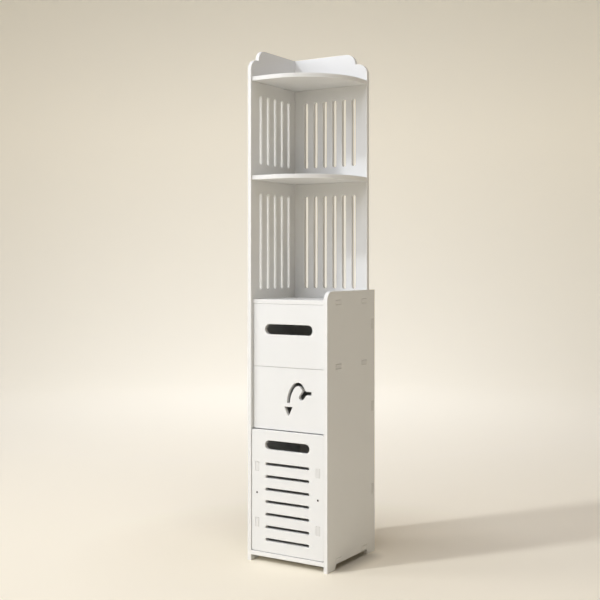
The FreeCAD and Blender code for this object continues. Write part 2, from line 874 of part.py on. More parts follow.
tip_z = flap_bottom + s.sign_tip_rise
hook_end = s.hook_span + s.return_span
bar_z = tip_z + s.bar_rise
half_bar = s.bar_thickness / 2
bar = rounded_rectangle(
    hook_end - half_bar, bar_z - half_bar, hook_end + s.bar_length, bar_z + half_bar, s.bar_round)
cut(flap, "XZ_Plane", "arrow_head", [arrow_outline(zero, tip_z)], forward=False)
cut(flap, "XZ_Plane", "arrow_hook", [hook_outline(s.hook_span, tip_z + s.stem_rise)], forward=False)
cut(flap, "XZ_Plane", "arrow_bar", [bar], forward=False)
cut(flap, "XZ_Plane", "arrow_paddle", [paddle_outline(hook_end, bar_z)], forward=False)

# Bin drawer
bin_side_top = bin_front_top - s.bin_side_drop
bin_half_box = inner_half - s.board - s.guide_clearance
bin_front_back_depth = s.bin_front_setback + s.board
half_bin_tenon = s.bin_tenon_height / 2
bin_tenons = spans_at([bin_base + s.bin_tenon_inset, bin_side_top - s.bin_tenon_inset], half_bin_tenon)
bin_front = board(
    "bin_drawer_front",
    "XZ_Plane",
    rounded_rectangle(-front_half, bin_front_base, front_half, bin_front_top, s.bin_front_round),
    y=front_plane + bin_front_back_depth,
)
bin_mortises = []
for left in (-bin_half_box, bin_half_box - s.board):
    bin_mortises += [mortise(left, low, left + s.board, high) for low, high in bin_tenons]
cut(bin_front, "XZ_Plane", "mortises", bin_mortises)
half_pull = front_half - s.pull_slot_inset
pull_height = bin_front_top - s.pull_slot_drop
cut(bin_front, "XZ_Plane", "pull", [level_slot(-half_pull, half_pull, pull_height, s.pull_slot_height)])
half_louvre = front_half - s.louvre_inset
louvre = level_slot(-half_louvre, half_louvre, bin_front_top - s.louvre_drop, s.louvre_height)
louvre_cut = cut(bin_front, "XZ_Plane", "louvre", [louvre])
louvre_run = s.bin_front_height - s.louvre_drop - s.louvre_rise
repeat(bin_front, louvre_cut, "V_Axis", louvre_run / (s.louvres - 1), s.louvres, True)
bin_screw_height = bin_base + (bin_side_top - bin_base) * bin_screw_share
bin_screw_half_spread = bin_half_box - s.board / 2
bin_screw_places = [(-bin_screw_half_spread, bin_screw_height), (bin_screw_half_spread, bin_screw_height)]
countersink(bin_front, "XZ_Plane", "screws", bin_screw_places, offset=s.board)
bin_sides = drawer_box(
    "bin_drawer",
    bin_half_box,
    bin_front_back_depth,
    lower_back_depth - s.bin_rear_gap,
    bin_base,
    bin_side_top,
    bin_tenons,
)
bin_pilots = [(s.board / 2, bin_screw_height, pilot)]
bin_pilot_depth = s.front_screw_length - s.board + s.screw_end_gap
for side in bin_sides:
    cut(side, "XZ_Plane", "pilot", bin_pilots, bin_pilot_depth, False, -bin_front_back_depth)
bin_face = front_plane + s.bin_front_setback
group("bin_front_screws", [
    screw(f"bin_screw_{index}", s.front_screw_length, x_axis, -90, x, bin_face, z)
    for index, (x, z) in enumerate(bin_screw_places, start=1)
])

# Guide strips that keep the bin drawer in line
guide_screws = []
for hand, x, inner_face, forward, angle in (
    ("left", -inner_half, s.board, False, -90),
    ("right", inner_half - s.board, zero, True, 90),
):
    corners = rectangle(guide_front_depth, bottom_top, guide_rear_depth, bottom_top + s.guide_height)
    guide = board(f"bin_{hand}_guide", "YZ_Plane", corners, x=x, y=front_plane)
    centres = [(depth, guide_screw_height) for depth in guide_screw_depths]
    countersink(guide, "YZ_Plane", "screws", centres, forward, inner_face)
    guide_screws += [
        screw(
            f"guide_screw_{hand}_{index}",
            s.guide_screw_length,
            y_axis,
            angle,
            x + inner_face,
            front_plane + depth,
            guide_screw_height,
        )
        for index, depth in enumerate(guide_screw_depths, start=1)
    ]
group("guide_screws", guide_screws)

# Check every object, then write one file for each sub-part
doc.recompute()
for item in doc.Objects:
    if "Invalid" in item.State or "Error" in item.State:
        raise RuntimeError(f"{item.Name} failed: {item.State}")
for item in sub_parts:
    if item.Shape.isNull() or not item.Shape.isValid():
        raise RuntimeError(f"{item.Label} has no valid shape")
os.makedirs("parts", exist_ok=True)
for item in sub_parts:
    item.Shape.exportStep(f"parts/{item.Label}.step")
    print(item.Label, len(item.Shape.Solids), round(item.Shape.Volume))
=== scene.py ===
import json
from math import radians

import bmesh
import bpy
import numpy as np
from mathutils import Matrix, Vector

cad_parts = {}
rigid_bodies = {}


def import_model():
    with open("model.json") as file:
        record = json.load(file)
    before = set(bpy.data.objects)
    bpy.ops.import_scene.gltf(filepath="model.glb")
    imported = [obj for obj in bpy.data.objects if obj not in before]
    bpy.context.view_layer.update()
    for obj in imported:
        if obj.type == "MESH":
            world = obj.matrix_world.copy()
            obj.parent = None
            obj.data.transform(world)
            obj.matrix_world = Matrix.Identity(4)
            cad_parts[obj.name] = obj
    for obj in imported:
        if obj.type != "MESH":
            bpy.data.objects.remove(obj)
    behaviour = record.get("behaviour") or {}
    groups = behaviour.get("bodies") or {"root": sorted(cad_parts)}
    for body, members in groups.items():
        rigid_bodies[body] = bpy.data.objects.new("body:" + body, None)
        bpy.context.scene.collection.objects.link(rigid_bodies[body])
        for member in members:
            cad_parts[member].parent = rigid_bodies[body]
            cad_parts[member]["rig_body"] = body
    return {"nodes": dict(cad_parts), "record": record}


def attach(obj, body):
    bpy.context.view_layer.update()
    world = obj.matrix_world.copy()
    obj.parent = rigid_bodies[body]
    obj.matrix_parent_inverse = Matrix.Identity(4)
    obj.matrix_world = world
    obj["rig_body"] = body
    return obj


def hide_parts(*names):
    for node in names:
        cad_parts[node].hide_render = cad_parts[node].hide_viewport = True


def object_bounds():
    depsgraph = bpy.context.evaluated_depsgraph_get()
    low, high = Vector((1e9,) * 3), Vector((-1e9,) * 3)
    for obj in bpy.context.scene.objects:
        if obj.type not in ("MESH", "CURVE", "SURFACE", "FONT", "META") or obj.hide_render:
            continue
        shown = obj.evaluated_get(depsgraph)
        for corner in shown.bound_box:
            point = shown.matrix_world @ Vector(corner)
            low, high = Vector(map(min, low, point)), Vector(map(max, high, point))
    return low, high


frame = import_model()
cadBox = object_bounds()
scene = bpy.context.scene
scene.view_settings.view_transform = "Standard"
print("frame loaded:", len(frame["nodes"]), "nodes")


# Meshes from arrays

tolerance = {
    "digits": 6,  # decimals of a metre to which the CAD corners are rounded
    "merge": 1e-7,  # metres, within which two corners are one
    "flat": 2e-6,  # metres, within which a corner lies on a board's face
    "tiny": 1e-15,  # square metres, the least divisor for the normal of a triangle
}


def newPiece(name, points, faces, smooth=True):
    mesh = bpy.data.meshes.new(name)
    corners = [face for group in faces for face in group.tolist()]
    mesh.from_pydata(points.reshape(-1, 3).tolist(), [], corners)
    mesh.update()
    mesh.polygons.foreach_set("use_smooth", np.full(len(mesh.polygons), smooth))
    piece = bpy.data.objects.new(name, mesh)
    scene.collection.objects.link(piece)
    return piece


# Quads of a grid of rows by columns, whose last column joins the first
def ringFaces(rows, columns, start=0):
    row, column = np.meshgrid(np.arange(rows - 1), np.arange(columns), indexing="ij")
    after = (column + 1) % columns
    this, following = row * columns, (row + 1) * columns
    quads = np.stack([this + column, this + after, following + after, following + column], axis=-1)
    return start + quads.reshape(-1, 4)


def addAttribute(piece, name, values):
    spot = piece.data.attributes.new(name, "FLOAT", "POINT")
    spot.data.foreach_set("value", np.asarray(values, dtype=np.float32).ravel())


def mergeDoubles(mesh):
    work = bmesh.new()
    work.from_mesh(mesh)
    bmesh.ops.remove_doubles(work, verts=work.verts, dist=tolerance["merge"])
    work.to_mesh(mesh)
    work.free()


# A CAD node's triangles with their doubled corners merged
def weldedNode(nodeName):
    mesh = frame["nodes"][nodeName].data
    corners = np.empty(len(mesh.vertices) * 3)
    mesh.vertices.foreach_get("co", corners)
    mesh.calc_loop_triangles()
    triangles = np.empty(len(mesh.loop_triangles) * 3, dtype=np.int64)
    mesh.loop_triangles.foreach_get("vertices", triangles)
    rounded = np.round(corners.reshape(-1, 3), tolerance["digits"])
    points, index = np.unique(rounded, axis=0, return_inverse=True)
    triangles = index.ravel()[triangles].reshape(-1, 3)
    distinct = (triangles != np.roll(triangles, 1, axis=1)).all(axis=1)
    return points, triangles[distinct]


# Node helpers: each adds one node and wires its inputs, given as values or as sockets of other nodes

def wire(tree, node, inputs):
    for key, value in inputs.items():
        socket = node.inputs[key]
        if isinstance(value, bpy.types.NodeSocket):
            tree.links.new(value, socket)
        else:
            socket.default_value = value
    return node


def addNode(tree, kind, settings=None, **inputs):
    node = tree.nodes.new("ShaderNode" + kind)
    for key, value in (settings or {}).items():
        setattr(node, key, value)
    return wire(tree, node, {key.replace("_", " "): value for key, value in inputs.items()})


def mathNode(tree, operation, *values):
    node = addNode(tree, "Math", {"operation": operation})
    return wire(tree, node, dict(enumerate(values))).outputs[0]


def vectorNode(tree, operation, *vectors, output="Vector"):
    node = addNode(tree, "VectorMath", {"operation": operation})
    return wire(tree, node, dict(enumerate(vectors))).outputs[output]


# In a Mix node the colours are sockets 6 and 7 and the values 2 and 3
def mixColours(tree, share, first, second, blend="MIX"):
    node = addNode(tree, "Mix", {"data_type": "RGBA", "blend_type": blend})
    return wire(tree, node, {0: share, 6: first, 7: second}).outputs[2]


def mixValues(tree, share, first, second):
    return wire(tree, addNode(tree, "Mix"), {0: share, 2: first, 3: second}).outputs[0]


def spread(tree, value, low, high, newLow=0.0, newHigh=1.0, blend="LINEAR"):
    node = addNode(tree, "MapRange", {"interpolation_type": blend})
    return wire(tree, node, dict(enumerate((value, low, high, newLow, newHigh)))).outputs[0]


def noiseNode(tree, place, scale, detail):
    return addNode(tree, "TexNoise", Vector=place, Scale=scale, Detail=detail).outputs["Fac"]


def bumpNode(tree, finish, height):
    node = addNode(tree, "Bump", Strength=finish["bumpStrength"], Distance=finish["bumpDepth"])
    return wire(tree, node, {"Height": height}).outputs["Normal"]


# The stretches of a noise's values that are spread from 0 to 1: most of them, or a narrower part
noiseSpan = (0.3, 0.7)
narrowSpan = (0.35, 0.65)


def objectPlace(tree):
    return addNode(tree, "TexCoord").outputs["Object"]


def readAttribute(tree, name):
    return addNode(tree, "Attribute", {"attribute_name": name}).outputs["Fac"]


def newMaterial(name):
    material = bpy.data.materials.new(name)
    material.use_nodes = True
    tree = material.node_tree
    return material, tree, tree.nodes["Principled BSDF"]


def newGroup(name, inputs, outputs):
    group = bpy.data.node_groups.new(name, "ShaderNodeTree")
    for label, (kind, value) in inputs.items():
        socket = group.interface.new_socket(label, in_out="INPUT", socket_type="NodeSocket" + kind)
        if value is not None:
            socket.default_value = value
    for label, kind in outputs.items():
        group.interface.new_socket(label, in_out="OUTPUT", socket_type="NodeSocket" + kind)
    return group, group.nodes.new("NodeGroupInput").outputs, group.nodes.new("NodeGroupOutput")


def placeGroup(tree, group, **inputs):
    node = addNode(tree, "Group", {"node_tree": group})
    return wire(tree, node, inputs).outputs


# Stage, lights and camera

photoView = {
    "place": (1.2810, -2.1093, 0.6921),
    "turn": 31.94,  # degrees to the right of the cabinet's front
    "lens": 62.15,
    "sensorWidth": 36.0,
    "shiftY": -0.0593,
}

studio = {
    "floorRadius": 3.4,
    "coveRadius": 1.6,
    "wallHeight": 3.2,
    "floorSteps": 12,
    "coveSteps": 25,
    "columns": 96,
    "paper": (0.95, 0.88, 0.73),
    "paperRough": (0.72, 0.86),
    "paperShine": 0.2,
    "fibreScale": 900.0,
    # painted light: the paper glows as a soft pool of light
    "glow": (1.0, 0.993, 0.973),
    "glowStrength": 0.645,
    "glowPlace": (-1.73, 2.47, 0.84),
    "glowReach": 2.15,
    "glowFall": 1.8,
    "darkRing": (0.2, 0.6),  # distances from the cabinet's foot between which the painted glow of the pool of light comes in
    "contactShade": 0.6,  # of the paper's colour, a painted contact shadow along the right panel's foot
    "contactReach": (0.004, 0.056),  # distances from that foot between which the painted shadow fades out
    "contactEnds": 0.055,  # from the corners of the foot to the ends of the painted shadow
    "skyColour": (1.0, 0.93, 0.84),
    "skyStrength": 0.01,
}

# Metres, degrees and watts
lights = {
    "keyLight": {
        "place": (-5.34, -7.80, 8.35),
        "aim": (0.0, 0.0, 0.3),
        "size": 0.9,
        "spread": 125.0,
        "power": 215.0,
        "colour": (0.93, 0.965, 1.0),
    },
    "leftLight": {
        "place": (-3.0, -1.7, 1.5),
        "aim": (0.0, 0.0, 0.9),
        "size": 1.2,
        "spread": 90.0,
        "power": 10.0,
        "colour": (1.0, 1.0, 1.0),
    },
    "softLight": {
        "place": (-0.80, -3.10, 2.20),
        "aim": (0.0, 0.0, -0.5),
        "size": 2.4,
        "spread": 180.0,
        "power": 42.8,
        "colour": (0.835, 0.885, 1.0),
    },
    "topLight": {
        "place": (0.8, -1.2, 3.4),
        "aim": (0.0, 0.0, 0.4),
        "size": 1.6,
        "spread": 140.0,
        "power": 16.5,
        "colour": (1.0, 0.99, 0.99),
    },
    "ceilingLight": {
        "place": (0.1, 0.3, 4.2),
        "aim": (0.1, 0.3, 0.0),
        "size": 3.4,
        "spread": 140.0,
        "power": 11.5,
        "colour": (1.0, 0.82, 0.85),
    },
}


def addCamera(view):
    camera = bpy.data.objects.new("photoCamera", bpy.data.cameras.new("photoCamera"))
    scene.collection.objects.link(camera)
    camera.location = view["place"]
    camera.rotation_euler = (radians(90), 0, radians(view["turn"]))
    camera.data.lens = view["lens"]
    camera.data.sensor_width = view["sensorWidth"]
    camera.data.shift_y = view["shiftY"]
    scene.camera = camera


def addAreaLight(name, light):
    lamp = bpy.data.lights.new(name, "AREA")
    lamp.size = light["size"]
    lamp.spread = radians(light["spread"])
    lamp.energy = light["power"]
    lamp.color = light["colour"]
    panel = bpy.data.objects.new(name, lamp)
    scene.collection.objects.link(panel)
    panel.location = light["place"]
    towards = Vector(light["aim"]) - Vector(light["place"])
    panel.rotation_euler = towards.to_track_quat("-Z", "Y").to_euler()
    panel.visible_camera = False


def addSky(studio):
    world = bpy.data.worlds.new("softSky")
    world.use_nodes = True
    wire(world.node_tree, world.node_tree.nodes["Background"], {
        "Color": (*studio["skyColour"], 1.0),
        "Strength": studio["skyStrength"],
    })
    scene.world = world


# A soft pool of light painted on the paper as a glow, which fades from its middle as a bell curve of the
# distance, and from a ring round the cabinet towards its foot
def lightPool(tree, place, studio):
    away = vectorNode(tree, "DISTANCE", place, studio["glowPlace"], output="Value")
    share = mathNode(tree, "DIVIDE", away, studio["glowReach"])
    fall = mathNode(tree, "POWER", share, studio["glowFall"])
    bell = mathNode(tree, "EXPONENT", mathNode(tree, "MULTIPLY", fall, -1.0))
    fromMiddle = vectorNode(tree, "LENGTH", place, output="Value")
    return mathNode(tree, "MULTIPLY", bell, spread(tree, fromMiddle, *studio["darkRing"]))


# The paper's colour with a painted contact shadow, darker near the foot of the right panel: a straight line
# on the floor that stops short of the panel's corners, from which the distance is measured
def paperWithPaintedShadow(tree, place, studio):
    halfWidth, halfDepth = cadBox[1][:2]
    aside = vectorNode(tree, "ABSOLUTE", vectorNode(tree, "SUBTRACT", place, (halfWidth, 0.0, 0.0)))
    past = vectorNode(tree, "SUBTRACT", aside, (0.0, halfDepth - studio["contactEnds"], 0.0))
    outside = vectorNode(tree, "MAXIMUM", past, (0.0, 0.0, 0.0))
    fromFoot = vectorNode(tree, "LENGTH", outside, output="Value")
    clear = spread(tree, fromFoot, *studio["contactReach"], blend="SMOOTHSTEP")
    # painted shadow: the paper's colour darkened along the right panel's foot
    shaded = [studio["contactShade"] * value for value in studio["paper"]]
    return mixColours(tree, clear, (*shaded, 1.0), (*studio["paper"], 1.0))


# Cream paper with fine fibres, a painted glow as a pool of light, and a painted contact shadow by the right
# foot
def paperLook(studio):
    material, tree, shader = newMaterial("creamPaper")
    place = objectPlace(tree)
    fibres = noiseNode(tree, place, studio["fibreScale"], detail=3.0)
    pool = lightPool(tree, place, studio)
    wire(tree, shader, {
        "Base Color": paperWithPaintedShadow(tree, place, studio),
        "Roughness": spread(tree, fibres, *noiseSpan, *studio["paperRough"]),
        "Specular IOR Level": studio["paperShine"],
        # painted light: the paper emits the pool of light
        "Emission Color": (*studio["glow"], 1.0),
        "Emission Strength": mathNode(tree, "MULTIPLY", pool, studio["glowStrength"]),
    })
    return material


# Seamless paper: a profile (flat floor, quarter-round cove, upright wall) carried round a full circle.
# At height step t the radius is the floor's, then grows with the sine of the cove's turn, then stays.
def addStage(studio):
    turn = np.linspace(0.0, np.pi / 2, studio["coveSteps"])
    flat, cove = studio["floorRadius"], studio["coveRadius"]
    floor = np.linspace(0.0, flat, studio["floorSteps"])[:-1]
    reach = np.concatenate([floor, flat + cove * np.sin(turn), [flat + cove]])
    height = np.concatenate([floor * 0, cove * (1 - np.cos(turn)), [studio["wallHeight"]]])
    around = np.linspace(0.0, 2 * np.pi, studio["columns"], endpoint=False)
    radius, angle = np.meshgrid(reach, around, indexing="ij")
    rise = np.broadcast_to(height[:, None], radius.shape)
    points = np.stack([radius * np.cos(angle), radius * np.sin(angle), rise], axis=-1)
    stage = newPiece("studioPaper", points, [ringFaces(len(reach), len(around))[:, ::-1]])
    stage.data.materials.append(paperLook(studio))
    stage.visible_shadow = False  # the key light stands outside the wall


addCamera(photoView)
addStage(studio)
addSky(studio)
for lightName, light in lights.items():
    addAreaLight(lightName, light)
print("stage, lights and camera set")


# Shared finish effects

# Clouds: a slow, faint change of shade and gloss, as handling and dust leave on any surface
def cloudEffect():
    group, given, result = newGroup("softClouds", {
        "Place": ("Vector", None),
        "Scale": ("Float", 7.0),
        "Fade": ("Float", 0.02),
        "Roughness": ("Float", 0.4),
        "Swing": ("Float", 0.03),
    }, {"Shade": "Color", "Roughness": "Float"})
    even = spread(group, noiseNode(group, given["Place"], given["Scale"], detail=3.0), *noiseSpan)
    shade = mathNode(group, "SUBTRACT", 1.0, mathNode(group, "MULTIPLY", even, given["Fade"]))
    grey = addNode(group, "CombineColor", Red=shade, Green=shade, Blue=shade).outputs[0]
    offset = mathNode(group, "MULTIPLY", mathNode(group, "SUBTRACT", even, 0.5), given["Swing"])
    wire(group, result, {"Shade": grey, "Roughness": mathNode(group, "ADD", given["Roughness"], offset)})
    return group


# Turning lines: fine rings that a lathe leaves, as a height that changes along the piece's own axis
def turningEffect():
    group, given, result = newGroup("turningLines", {
        "Along": ("Float", 0.0),
        "Pitch": ("Float", 0.0002),
    }, {"Height": "Float", "Line": "Float"})
    steps = mathNode(group, "DIVIDE", given["Along"], given["Pitch"])
    noise = addNode(group, "TexNoise", {"noise_dimensions": "1D"}, W=steps, Scale=1.0, Detail=2.0)
    height = noise.outputs["Fac"]
    wire(group, result, {"Height": height, "Line": spread(group, height, *narrowSpan)})
    return group


softClouds = cloudEffect()
turningLines = turningEffect()


def addClouds(tree, finish, place, rough):
    return placeGroup(tree, softClouds, Place=place, Scale=finish["cloudScale"], Fade=finish["cloudFade"],
                      Roughness=rough, Swing=finish["glossSwing"])


# Boards

boardFinish = {
    "faceWhite": (0.80, 0.80, 0.79),
    "cutWhite": (0.82, 0.815, 0.80),
    "faceRough": 0.42,
    "cutRough": 0.62,
    "peelScale": 900.0,
    "peelShare": 0.25,  # of the height of the pores
    "poreScale": 2600.0,
    "bumpStrength": 0.06,
    "bumpDepth": 0.0003,
    "cloudScale": 7.0,
    "cloudFade": 0.015,
    "glossSwing": 0.06,
    "toneSeed": 11,
    "toneSwing": 0.012,
    "innerShade": -9.0,  # times the swing: painted shade that darkens the boards that only show through the cuts
    "innerBoards": (
        "tissue_drawer_left_side", "tissue_drawer_right_side", "tissue_drawer_back", "tissue_drawer_bottom",
        "bin_drawer_left_side", "bin_drawer_right_side", "bin_drawer_back", "bin_drawer_bottom",
        "bin_left_guide", "bin_right_guide", "divider_shelf", "lower_back_panel",
    ),
}

boardEdge = {
    "radius": 0.0006,
    "steps": 3,
    "steepest": 0.6,  # an edge whose wall leans this near to the face, as a cosine, stays as it is
    "sharedRim": 5,  # the rim number of a corner without an arris, which is on the face's rim and the cut's
    "sharpAngle": 32.0,
}


# Satin foam board: the faces have a faint orange peel, the routed cuts show fine open pores
def boardLook(finish):
    material, tree, shader = newMaterial("satinFoamBoard")
    place = objectPlace(tree)
    cut = readAttribute(tree, "cutEdge")
    # a random tone per board, with painted shade on the inner boards
    toneAndShade = mathNode(tree, "MULTIPLY", readAttribute(tree, "boardToneAndShade"), finish["toneSwing"])
    peel = noiseNode(tree, place, finish["peelScale"], detail=2.0)
    pores = addNode(tree, "TexVoronoi", Vector=place, Scale=finish["poreScale"]).outputs["Distance"]
    rough = mixValues(tree, cut, finish["faceRough"], finish["cutRough"])
    clouds = addClouds(tree, finish, place, rough)
    white = mixColours(tree, cut, (*finish["faceWhite"], 1.0), (*finish["cutWhite"], 1.0))
    toned = addNode(tree, "HueSaturation", Color=white, Value=mathNode(tree, "ADD", 1.0, toneAndShade)).outputs[0]
    height = mixValues(tree, cut, mathNode(tree, "MULTIPLY", peel, finish["peelShare"]), pores)
    wire(tree, shader, {
        "Base Color": mixColours(tree, 1.0, toned, clouds["Shade"], "MULTIPLY"),
        "Roughness": clouds["Roughness"],
        "Normal": bumpNode(tree, finish, height),
    })
    return material


def triangleEdges(triangles):
    return triangles[:, [[0, 1], [1, 2], [2, 0]]].reshape(-1, 2)


def triangleNormals(points, triangles):
    first, second, third = points[triangles.T]
    sides = np.cross(second - first, third - first)
    return sides / np.maximum(np.linalg.norm(sides, axis=1, keepdims=True), tolerance["tiny"])


# The rim of a face: the edges of its triangles that no other triangle of the face runs along backwards
def faceRim(triangles, count):
    edges = triangleEdges(triangles)
    return edges[~np.isin(edges @ (count, 1), edges @ (1, count))]


# For each corner of a rim, the way inwards along the mitre of its two edges, in the plane of the face
def rimMitre(points, rim, plane, facing):
    along = (points[rim[:, 1]] - points[rim[:, 0]])[:, plane]
    along /= np.linalg.norm(along, axis=1, keepdims=True)
    inward = facing * np.stack([-along[:, 1], along[:, 0]], axis=1)
    leaving, arriving = np.zeros((2, len(points), 2))
    leaving[rim[:, 0]] = inward
    arriving[rim[:, 1]] = inward
    return (leaving + arriving) / (1 + (leaving * arriving).sum(axis=1, keepdims=True))


# 1 for a corner that gets an arris, 0 where a wall beside the rim leans too near to the face for one
def easedCorners(count, triangles, walls, rim, lean, steepest):
    wallKeys = triangleEdges(triangles[walls]) @ (1, count)
    order = np.argsort(wallKeys)
    beside = walls[order[np.searchsorted(wallKeys[order], rim @ (count, 1))] // 3]
    eased = np.zeros(count)
    eased[rim] = 1.0
    eased[rim[lean[beside] > steepest]] = 0.0
    return eased


# Eased board: the arris profile is carried along every outline of the board's two faces. At turn t of the
# profile, from 0 to a right angle, the surface is drawn in from the outline by radius * (1 - sin t) and
# lies radius * (1 - cos t) below the face.
def easedBoard(nodeName, edge):
    points, triangles = weldedNode(nodeName)
    count = len(points)
    through = int(np.argmin(np.ptp(points, axis=0)))
    plane = [(through + 1) % 3, (through + 2) % 3]
    lean = triangleNormals(points, triangles)[:, through]
    turn = np.linspace(0.0, np.pi / 2, edge["steps"] + 1)
    drawn, sunk = edge["radius"] * (1 - np.sin(turn)), edge["radius"] * (1 - np.cos(turn))
    rings, strips, flats = [points], [], []
    cutShare, rimCode = [np.ones(count)], [np.zeros(count, dtype=int)]
    wallIndex = np.arange(count)
    onFace = np.zeros(len(triangles), dtype=bool)
    for code, facing in ((1, 1), (2, -1)):
        level = facing * (facing * points[:, through]).max()
        flat = (np.abs(points[:, through] - level) < tolerance["flat"])[triangles].all(axis=1)
        onFace |= flat
        rim = faceRim(triangles[flat], count)
        mitre = rimMitre(points, rim, plane, facing)
        eased = easedCorners(count, triangles, np.flatnonzero(~flat), rim, facing * lean, edge["steepest"])
        verts = np.unique(rim)
        start = sum(map(len, rings))
        ring = np.repeat(points[verts][None], len(turn), axis=0)
        ring[:, :, plane] += drawn[:, None, None] * (mitre[verts] * eased[verts, None])
        ring[:, :, through] -= facing * sunk[:, None] * eased[verts]
        rings.append(ring.reshape(-1, 3))
        place = np.zeros(count, dtype=int)
        place[verts] = np.arange(len(verts))
        ringIndex = start + np.arange(len(turn))[:, None] * len(verts) + place
        faceIndex = np.arange(count)
        faceIndex[verts] = ringIndex[0, verts]
        flats.append(faceIndex[triangles[flat]])
        wallIndex[verts] = ringIndex[-1, verts]
        kept = rim[eased[rim].any(axis=1)]
        first, second = kept[:, 0], kept[:, 1]
        strips.append(np.stack([
            ringIndex[:-1, second], ringIndex[:-1, first], ringIndex[1:, first], ringIndex[1:, second],
        ], axis=-1).reshape(-1, 4))
        cutShare[0][verts] = eased[verts]
        cutShare.append(np.outer(turn / turn[-1], eased[verts]).ravel())
        codes = np.zeros((len(turn), len(verts)), dtype=int)
        codes[0], codes[-1] = code, code + 2
        codes[:, eased[verts] == 0] = edge["sharedRim"]
        rimCode[0][verts] = codes[0]
        rimCode.append(codes.ravel())
    walls = wallIndex[triangles[~onFace]]
    piece = newPiece(nodeName + "_board", np.concatenate(rings), [*flats, walls, *strips])
    addAttribute(piece, "cutEdge", np.concatenate(cutShare))
    addAttribute(piece, "rimCode", np.concatenate(rimCode))
    mergeDoubles(piece.data)
    sharpenRims(piece.data, edge)
    return piece


# Keeps the faces' and the cuts' own flat shading where the arris meets them
def sharpenRims(mesh, edge):
    rimCode = mesh.attributes["rimCode"]
    codes = np.empty(len(mesh.vertices), dtype=np.float32)
    rimCode.data.foreach_get("value", codes)
    mesh.attributes.remove(rimCode)
    mesh.set_sharp_from_angle(angle=radians(edge["sharpAngle"]))
    ends = np.empty(len(mesh.edges) * 2, dtype=int)
    mesh.edges.foreach_get("vertices", ends)
    ends = codes[ends.reshape(-1, 2)]
    onRim = (ends[:, 0] == ends[:, 1]) | (ends == edge["sharedRim"]).any(axis=1)
    sharp = np.empty(len(mesh.edges), dtype=bool)
    mesh.edges.foreach_get("use_edge_sharp", sharp)
    mesh.edges.foreach_set("use_edge_sharp", sharp | (onRim & (ends > 0).all(axis=1)))


def nodesOf(slotName):
    return [row["node"] for row in frame["record"]["subparts"] if row["material_slot"] == slotName]


def dress(piece, nodeName, material):
    piece.data.materials.append(material)
    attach(piece, frame["nodes"][nodeName]["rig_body"])
    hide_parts(nodeName)


boardMaterial = boardLook(boardFinish)
boardNames = nodesOf("white_board")
boardTones = np.random.default_rng(boardFinish["toneSeed"]).uniform(-1.0, 1.0, len(boardNames))
for nodeName, toneAndShade in zip(boardNames, boardTones):
    board = easedBoard(nodeName, boardEdge)
    # painted shade: the inner boards are darkened on top of their random tone
    toneAndShade += boardFinish["innerShade"] if nodeName in boardFinish["innerBoards"] else 0.0
    addAttribute(board, "boardToneAndShade", np.full(len(board.data.vertices), toneAndShade))
    dress(board, nodeName, boardMaterial)
print("boards made:", len(boardTones))


# Turned pieces: screws, pins and dowels

# Every corner takes the lowest number among the corners that its triangles join it to, until none changes;
# the corners that share a number are one solid of the node.
def solidsOf(nodeName):
    points, triangles = weldedNode(nodeName)
    number = np.arange(len(points))
    changed = True
    while changed:
        joined = number.copy()
        np.minimum.at(joined, triangles, number[triangles].min(axis=1)[:, None])
        changed = (joined != number).any()
        number = joined
    return [points[number == one] for one in np.unique(number)]


# The axis of a round solid: along its longest side from the thick end to the other, with length and radius
def roundAxis(solid):
    low, high = solid.min(axis=0), solid.max(axis=0)
    axis = int(np.argmax(high - low))
    across = [(axis + 1) % 3, (axis + 2) % 3]
    middle = (low + high) / 2
    away = np.linalg.norm((solid - middle)[:, across], axis=1)
    thick = solid[np.argmax(away), axis]
    forward = 1.0 if thick - low[axis] <= high[axis] - thick else -1.0
    start = middle.copy()
    start[axis] = low[axis] if forward > 0 else high[axis]
    return {
        "start": start,
        "along": np.eye(3)[axis] * forward,
        "side": np.eye(3)[across[0]],
        "up": np.cross(np.eye(3)[axis] * forward, np.eye(3)[across[0]]),
        "length": high[axis] - low[axis],
        "radius": away.max(),
    }


# A turned surface: at depth d along the axis and turn t round it, the point is
# start + d * along + r * (cos t * side + sin t * up). Both ends close in a point on the axis.
def turnedPoints(axis, depth, radius):
    turn = np.linspace(0.0, 2 * np.pi, depth.shape[1], endpoint=False)[:, None]
    across = np.cos(turn) * axis["side"] + np.sin(turn) * axis["up"]
    return axis["start"] + depth[..., None] * axis["along"] + radius[..., None] * across


# One piece for a node's solids, each a surface of depth and radius, with its rows along the axis and its
# columns round it
def turnedPiece(nodeName, surface, form):
    points, faces, along = [], [], []
    for solid in solidsOf(nodeName):
        axis = roundAxis(solid)
        depth, radius = surface(axis, form)
        faces.append(ringFaces(*depth.shape, start=sum(map(len, points))))
        points.append(turnedPoints(axis, depth, radius).reshape(-1, 3))
        along.append(depth.ravel())
    piece = newPiece(nodeName + "_turned", np.concatenate(points), faces)
    addAttribute(piece, "alongAxis", np.concatenate(along))
    mergeDoubles(piece.data)
    piece.data.set_sharp_from_angle(angle=radians(form["sharpAngle"]))
    return piece


def smoothStep(values):
    clipped = np.clip(values, 0.0, 1.0)
    return clipped * clipped * (3 - 2 * clipped)


screwForm = {
    "columns": 40,
    "faceSteps": 18,
    "coneSteps": 5,
    "sharpAngle": 35.0,
    "shankShare": 0.56,  # of the head's radius, as are the recess sizes
    "recessReach": 0.60,
    "recessWing": 0.17,
    "recessDepth": 0.40,
    "recessSlope": 0.09,
    "threadPitch": 0.0011,
    "threadSteps": 6,
    "threadRoot": 0.72,  # of the shank's radius
    "tip": 0.0032,
}


